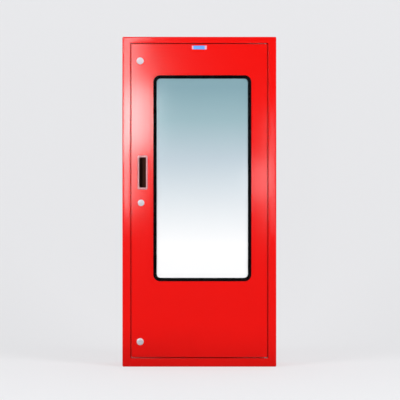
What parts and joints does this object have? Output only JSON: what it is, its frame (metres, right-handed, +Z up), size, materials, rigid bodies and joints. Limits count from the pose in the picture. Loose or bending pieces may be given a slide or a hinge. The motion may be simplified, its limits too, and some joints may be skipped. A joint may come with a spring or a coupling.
{
  "type": "standpipe cabinet",
  "caption": "Tall red steel fire cabinet with a framed, glazed, lockable door on pivot hinges, holding a hose valve, a hose reel and their supply pipe.",
  "frame": {"origin": "centre of the cabinet's base, on the surface it stands on", "axes": "+Z up, -Y out of the front, +X to the right of a person who faces the door; the door is hinged on the +X side"},
  "size_m": [0.7, 0.244, 1.5],
  "materials": {
    "red_paint": "glossy powder coat",
    "zinc_steel": "zinc plated",
    "chrome": "polished",
    "black_rubber": "smooth",
    "window_glass": "polished, reflective",
    "blue_plate": "printed blue, blank",
    "black_plastic": "satin",
    "brass": "cast and turned",
    "pipe_paint": "satin enamel",
    "wheel_paint": "satin enamel"
  },
  "bodies": {
    "cabinet": {"side_panel_left": "red_paint", "side_panel_right": "red_paint", "top_panel": "red_paint", "bottom_panel": "red_paint", "back_panel": "red_paint", "stile_left": "red_paint", "stile_right": "red_paint", "head_rail": "red_paint", "sill_rail": "red_paint", "stop_left": "red_paint", "stop_right": "red_paint", "stop_top": "red_paint", "stop_bottom": "red_paint", "hinge_pins": "zinc_steel", "thrust_washer": "zinc_steel", "door_buffers": "black_rubber", "inlet_coupling": "pipe_paint", "inlet_pipe": "pipe_paint", "pipe_clamps": "zinc_steel", "riser_tee": "pipe_paint", "valve_body": "brass", "valve_bonnet": "brass", "valve_gland": "brass", "reducer_bush": "zinc_steel", "branch_pipes": "pipe_paint", "branch_elbow": "zinc_steel", "stop_valve": "brass", "reel_bracket": "pipe_paint", "reel_spindle": "zinc_steel", "spindle_cap": "zinc_steel"},
    "door": {"door_skin": "red_paint", "hinge_bushes": "brass", "stiffener_top": "zinc_steel", "stiffener_bottom": "zinc_steel", "stiffener_side": "zinc_steel", "window_gasket": "black_rubber", "window_glass": "window_glass", "nameplate": "blue_plate", "pull_bezel": "chrome", "pull_cup": "black_plastic", "pull_grip": "black_plastic", "lock_collar": "chrome", "latch_collar_upper": "chrome", "latch_collar_lower": "chrome", "latch_nuts": "zinc_steel"},
    "lock": {"lock_plug": "chrome", "lock_cam": "zinc_steel"},
    "latch_upper": {"latch_spindle_upper": "chrome", "latch_cam_upper": "zinc_steel"},
    "latch_lower": {"latch_spindle_lower": "chrome", "latch_cam_lower": "zinc_steel"},
    "disc": {"valve_disc": "brass"},
    "wheel": {"valve_stem": "brass", "handwheel": "wheel_paint", "handwheel_nut": "zinc_steel"},
    "cap": {"outlet_cap": "brass"},
    "lever": {"stop_lever": "wheel_paint"},
    "reel": {"reel_disc_front": "wheel_paint", "reel_disc_rear": "wheel_paint", "reel_drum": "wheel_paint"}
  },
  "joints": [
    {"name": "door_swing", "type": "hinge", "parent": "cabinet", "child": "door", "pos_m": [0.301, -0.112, 0.75], "axis": [0, 0, 1], "range_deg": [0, 110]},
    {"name": "lock_turn", "type": "hinge", "parent": "door", "child": "lock", "pos_m": [-0.265, -0.1, 0.745], "axis": [0, 1, 0], "range_deg": [0, 90]},
    {"name": "latch_upper_turn", "type": "hinge", "parent": "door", "child": "latch_upper", "pos_m": [-0.269, -0.1, 1.39], "axis": [0, 1, 0], "range_deg": [0, 90]},
    {"name": "latch_lower_turn", "type": "hinge", "parent": "door", "child": "latch_lower", "pos_m": [-0.269, -0.1, 0.114], "axis": [0, 1, 0], "range_deg": [0, 90]},
    {"name": "valve_lift", "type": "slide", "parent": "cabinet", "child": "disc", "axis": [1, 0, 0], "range_m": [0, 0.015]},
    {"name": "handwheel_turn", "type": "hinge", "parent": "disc", "child": "wheel", "pos_m": [0.057, 0.05, 1.105], "axis": [1, 0, 0], "range_deg": [0, 1080]},
    {"name": "cap_off", "type": "slide", "parent": "cabinet", "child": "cap", "axis": [0, 0, -1], "range_m": [0, 0.06]},
    {"name": "stop_lever_turn", "type": "hinge", "parent": "cabinet", "child": "lever", "pos_m": [-0.18, 0.02, 0.9], "axis": [0, 1, 0], "range_deg": [0, 90]},
    {"name": "reel_spin", "type": "hinge", "parent": "cabinet", "child": "reel", "pos_m": [0.08, -0.02, 0.64], "axis": [0, 1, 0], "continuous": true}
  ],
  "couplings": [
    {"joint": "valve_lift", "follows": "handwheel_turn", "m_per_rad": 0.0007957}
  ]
}
